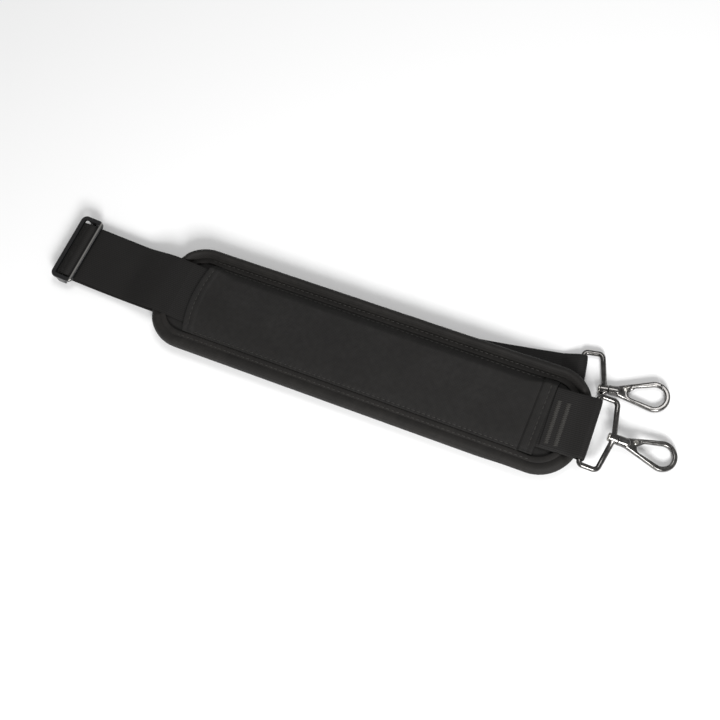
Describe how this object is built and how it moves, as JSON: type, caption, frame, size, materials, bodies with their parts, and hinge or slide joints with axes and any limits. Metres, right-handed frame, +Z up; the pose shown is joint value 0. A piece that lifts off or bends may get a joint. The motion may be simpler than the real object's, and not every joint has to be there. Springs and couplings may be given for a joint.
{
  "type": "padded instrument case shoulder strap",
  "caption": "Padded shoulder strap of flat webbing through a sewn sleeve, folded in half with a slider at one end and swivelling snap hooks on wire rings at the other.",
  "frame": {"origin": "on the surface that the strap lies on, at the underside of the lower leg of webbing, under the middle of the pad", "axes": "+X along the pad towards the snap hooks, +Y across the pad, +Z up"},
  "size_m": [0.4079, 0.0869, 0.0164],
  "materials": {
    "webbing": "matt ribbed woven webbing",
    "panel_cloth": "matt fine-grained coated cloth",
    "cover_cloth": "matt woven cloth",
    "binding_cloth": "matt woven cloth, rolled",
    "backing_cloth": "matt non-slip cloth",
    "foam": "closed-cell foam",
    "thread": "twisted nylon thread",
    "slider_metal": "black enamel",
    "ring_metal": "black nickel plating",
    "hook_metal": "black nickel plating, polished",
    "pin_metal": "nickel plated rivet",
    "spring_steel": "bright wire"
  },
  "bodies": {
    "pad": {"pad_backing": "backing_cloth", "pad_foam_core": "foam", "pad_top_cover": "cover_cloth", "pad_edge_binding": "binding_cloth", "sleeve_panel": "panel_cloth", "sleeve_thread": "thread", "border_thread": "thread", "webbing_strap": "webbing", "webbing_return_leg": "webbing", "tab_thread": "thread", "return_thread": "thread"},
    "slider": {"slider": "slider_metal"},
    "ring_a": {"ring_a": "ring_metal"},
    "hook_a": {"swivel_post_a": "pin_metal", "hook_body_a": "hook_metal", "gate_pin_a": "pin_metal", "gate_spring_a": "spring_steel"},
    "gate_a": {"gate_a": "hook_metal"},
    "ring_b": {"ring_b": "ring_metal"},
    "hook_b": {"swivel_post_b": "pin_metal", "hook_body_b": "hook_metal", "gate_pin_b": "pin_metal", "gate_spring_b": "spring_steel"},
    "gate_b": {"gate_b": "hook_metal"}
  },
  "joints": [
    {"name": "slider_adjust", "type": "slide", "parent": "pad", "child": "slider", "axis": [0.9987, -0.0506, 0], "range_m": [0, 0.036], "deforming": ["webbing_return_leg"]},
    {"name": "ring_a_hinge", "type": "hinge", "parent": "pad", "child": "ring_a", "pos_m": [0.1416, 0.0018, 0.0134], "axis": [0.0436, -0.999, 0], "range_deg": [-40, 125]},
    {"name": "hook_a_swivel", "type": "hinge", "parent": "ring_a", "child": "hook_a", "pos_m": [0.15622, 0.00244, 0.01013], "axis": [0.975, 0.0426, -0.2181], "continuous": true},
    {"name": "gate_a_spring", "type": "hinge", "parent": "hook_a", "child": "gate_a", "pos_m": [0.16823, 0.00496, 0.00742], "axis": [-0.2179, -0.0095, -0.9759], "range_deg": [0, 20], "stiffness_Nm_per_rad": 0.02, "springref_deg": -20.05, "deforming": ["gate_spring_a"]},
    {"name": "ring_b_hinge", "type": "hinge", "parent": "pad", "child": "ring_b", "pos_m": [0.126, 0.02859, 0.0029], "axis": [0.1822, -0.9833, 0], "range_deg": [-75, 5]},
    {"name": "hook_b_swivel", "type": "hinge", "parent": "ring_b", "child": "hook_b", "pos_m": [0.14075, 0.03133, 0.0029], "axis": [0.9833, 0.1822, 0], "continuous": true},
    {"name": "gate_b_spring", "type": "hinge", "parent": "hook_b", "child": "gate_b", "pos_m": [0.15258, 0.03554, 0.00307], "axis": [-0.0159, 0.0857, -0.9962], "range_deg": [0, 20], "stiffness_Nm_per_rad": 0.02, "springref_deg": -20.05, "deforming": ["gate_spring_b"]}
  ]
}
